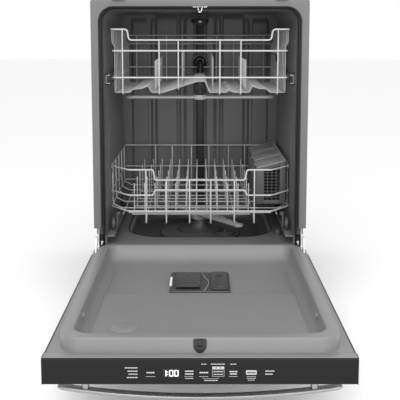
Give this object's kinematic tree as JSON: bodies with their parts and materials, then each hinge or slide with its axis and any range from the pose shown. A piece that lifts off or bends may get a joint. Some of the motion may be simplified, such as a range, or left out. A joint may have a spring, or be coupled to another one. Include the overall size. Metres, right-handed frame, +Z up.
{
  "type": "built-in dishwasher",
  "caption": "Built-in dishwasher for a 24 inch opening, drop-down door lying open, two roll-out wire racks, spray arms, cutlery basket and top edge controls",
  "frame": {"origin": "centre of the footprint of the rest pose with the door lying open, on the floor", "axes": "+X to the right seen from the front, +Y into the cabinet, away from the open door, +Z up"},
  "size_m": [0.603, 1.342, 0.8636],
  "materials": {
    "frame_plastic": "satin moulded light grey",
    "tub_plastic": "satin moulded mid grey",
    "liner_plastic": "satin moulded grey",
    "dark_plastic": "fine grained black",
    "grey_plastic": "fine grained dark grey",
    "basket_plastic": "fine grained charcoal",
    "white_plastic": "smooth white",
    "rubber_seal": "black soft seal",
    "jacket_felt": "pressed dark felt",
    "base_steel": "black powder coat",
    "zinc_steel": "zinc plated sheet",
    "panel_steel": "fine brushed",
    "fascia_dark": "dark satin fascia",
    "display_black": "smoked display window",
    "chrome_trim": "polished",
    "coated_wire": "light grey nylon coating",
    "arm_plastic": "satin light grey"
  },
  "bodies": {
    "cabinet": {"front_frame": "frame_plastic", "tub_wrap": "tub_plastic", "tub_back_wall": "tub_plastic", "tub_floor": "tub_plastic", "sump_tray": "tub_plastic", "filter_plate": "grey_plastic", "sump_housing": "grey_plastic", "circulation_pump": "dark_plastic", "drain_pump": "dark_plastic", "inlet_valve": "white_plastic", "junction_box": "zinc_steel", "door_gasket": "rubber_seal", "side_jackets": "jacket_felt", "base_frame": "base_steel", "toe_kick_panel": "base_steel", "levelling_feet": "zinc_steel", "mounting_brackets": "zinc_steel", "strike_plate": "chrome_trim", "hinge_brackets": "zinc_steel", "spray_conduit": "grey_plastic", "rail_guides": "dark_plastic"},
    "door": {"outer_panel": "panel_steel", "inner_liner": "liner_plastic", "control_fascia": "fascia_dark", "display_window": "display_black", "hinge_arms": "zinc_steel", "door_springs": "zinc_steel", "vent_cover": "liner_plastic", "handle_bar": "panel_steel", "dispenser_body": "grey_plastic"},
    "upper_rack": {"upper_rack_floor": "coated_wire", "upper_rack_frame": "coated_wire", "upper_rack_tines": "coated_wire", "rack_carriers": "dark_plastic", "feed_tube": "grey_plastic"},
    "lower_rack": {"lower_rack_floor": "coated_wire", "lower_rack_frame": "coated_wire", "lower_rack_tines": "coated_wire", "wheel_carriers": "basket_plastic"},
    "basket": {"basket_body": "basket_plastic"},
    "cylinder_filter": {"cylinder_filter": "grey_plastic"},
    "float_cup": {"float_cup": "grey_plastic"},
    "rail_left": {"rail_left": "panel_steel"},
    "rail_right": {"rail_right": "panel_steel"},
    "latch_hook": {"latch_hook": "dark_plastic"},
    "detergent_lid": {"detergent_lid": "grey_plastic"},
    "rinse_lid": {"rinse_lid": "grey_plastic"},
    "release_tab": {"release_tab": "white_plastic"},
    "pad_cycle": {"pad_cycle": "fascia_dark"},
    "pad_delay": {"pad_delay": "fascia_dark"},
    "pad_start": {"pad_start": "white_plastic"},
    "upper_front_rollers": {"upper_front_rollers": "white_plastic"},
    "upper_rear_rollers": {"upper_rear_rollers": "white_plastic"},
    "upper_spray_arm": {"upper_spray_arm": "arm_plastic"},
    "front_wheels": {"front_wheels": "basket_plastic"},
    "rear_wheels": {"rear_wheels": "basket_plastic"},
    "lower_spray_arm": {"lower_spray_arm": "arm_plastic"},
    "lid_front": {"lid_front": "basket_plastic"},
    "lid_middle": {"lid_middle": "basket_plastic"},
    "lid_rear": {"lid_rear": "basket_plastic"}
  },
  "joints": [
    {"name": "door_hinge", "type": "hinge", "parent": "cabinet", "child": "door", "pos_m": [0, 0.046, 0.143], "axis": [-1, 0, 0], "range_deg": [0, 90], "deforming": ["door_springs"]},
    {"name": "upper_rack_slide", "type": "slide", "parent": "cabinet", "child": "upper_rack", "axis": [0, 1, 0], "range_m": [-0.48, 0]},
    {"name": "rail_left_slide", "type": "slide", "parent": "cabinet", "child": "rail_left", "axis": [0, 1, 0], "range_m": [-0.24, 0]},
    {"name": "rail_right_slide", "type": "slide", "parent": "cabinet", "child": "rail_right", "axis": [0, 1, 0], "range_m": [-0.24, 0]},
    {"name": "upper_front_roller_spin", "type": "hinge", "parent": "upper_rack", "child": "upper_front_rollers", "pos_m": [0, 0.405, 0.6411], "axis": [-1, 0, 0], "continuous": true},
    {"name": "upper_rear_roller_spin", "type": "hinge", "parent": "upper_rack", "child": "upper_rear_rollers", "pos_m": [0, 0.575, 0.6411], "axis": [-1, 0, 0], "continuous": true},
    {"name": "upper_spray_arm_spin", "type": "hinge", "parent": "upper_rack", "child": "upper_spray_arm", "pos_m": [0, 0.355, 0.571], "axis": [0, 0, 1], "continuous": true},
    {"name": "lower_rack_slide", "type": "slide", "parent": "cabinet", "child": "lower_rack", "axis": [0, 1, 0], "range_m": [-0.5, 0]},
    {"name": "front_wheel_roll", "type": "hinge", "parent": "lower_rack", "child": "front_wheels", "pos_m": [0, 0.175, 0.2104], "axis": [-1, 0, 0], "continuous": true},
    {"name": "rear_wheel_roll", "type": "hinge", "parent": "lower_rack", "child": "rear_wheels", "pos_m": [0, 0.505, 0.2104], "axis": [-1, 0, 0], "continuous": true},
    {"name": "basket_lift", "type": "slide", "parent": "lower_rack", "child": "basket", "axis": [0, 0, -1], "range_m": [-0.13, 0]},
    {"name": "lid_front_hinge", "type": "hinge", "parent": "basket", "child": "lid_front", "pos_m": [0.254, 0.254, 0.3959], "axis": [0, 1, 0], "range_deg": [0, 100]},
    {"name": "lid_middle_hinge", "type": "hinge", "parent": "basket", "child": "lid_middle", "pos_m": [0.254, 0.387, 0.3959], "axis": [0, 1, 0], "range_deg": [0, 100]},
    {"name": "lid_rear_hinge", "type": "hinge", "parent": "basket", "child": "lid_rear", "pos_m": [0.254, 0.521, 0.3959], "axis": [0, 1, 0], "range_deg": [0, 100]},
    {"name": "lower_spray_arm_spin", "type": "hinge", "parent": "cabinet", "child": "lower_spray_arm", "pos_m": [0, 0.365, 0.198], "axis": [0, 0, 1], "continuous": true},
    {"name": "filter_turn", "type": "hinge", "parent": "cabinet", "child": "cylinder_filter", "pos_m": [0.078, 0.327, 0.14], "axis": [0, 0, 1], "range_deg": [0, 90]},
    {"name": "float_rise", "type": "slide", "parent": "cabinet", "child": "float_cup", "axis": [0, 0, 1], "range_m": [0, 0.008]},
    {"name": "detergent_lid_slide", "type": "slide", "parent": "door", "child": "detergent_lid", "axis": [0, 1, 0], "range_m": [0, 0.045]},
    {"name": "rinse_lid_hinge", "type": "hinge", "parent": "door", "child": "rinse_lid", "pos_m": [0.068, -0.197, 0.1579], "axis": [0, -1, 0], "range_deg": [-110, 0]},
    {"name": "release_tab_press", "type": "slide", "parent": "door", "child": "release_tab", "axis": [1, 0, 0], "range_m": [0, 0.004], "stiffness_N_per_m": 300},
    {"name": "latch_catch", "type": "slide", "parent": "door", "child": "latch_hook", "axis": [0, 0, 1], "range_m": [0, 0.004], "stiffness_N_per_m": 300},
    {"name": "cycle_press", "type": "slide", "parent": "door", "child": "pad_cycle", "axis": [0, 1, 0], "range_m": [0, 0.0008], "stiffness_N_per_m": 800},
    {"name": "delay_press", "type": "slide", "parent": "door", "child": "pad_delay", "axis": [0, 1, 0], "range_m": [0, 0.0008], "stiffness_N_per_m": 800},
    {"name": "start_press", "type": "slide", "parent": "door", "child": "pad_start", "axis": [0, 1, 0], "range_m": [0, 0.0008], "stiffness_N_per_m": 800}
  ],
  "couplings": [
    {"joint": "rail_left_slide", "follows": "upper_rack_slide", "ratio": 0.5},
    {"joint": "rail_right_slide", "follows": "upper_rack_slide", "ratio": 0.5},
    {"joint": "upper_front_roller_spin", "follows": "upper_rack_slide", "rad_per_m": 47.619},
    {"joint": "upper_rear_roller_spin", "follows": "upper_rack_slide", "rad_per_m": 47.619},
    {"joint": "front_wheel_roll", "follows": "lower_rack_slide", "rad_per_m": 52.632},
    {"joint": "rear_wheel_roll", "follows": "lower_rack_slide", "rad_per_m": 52.632}
  ]
}
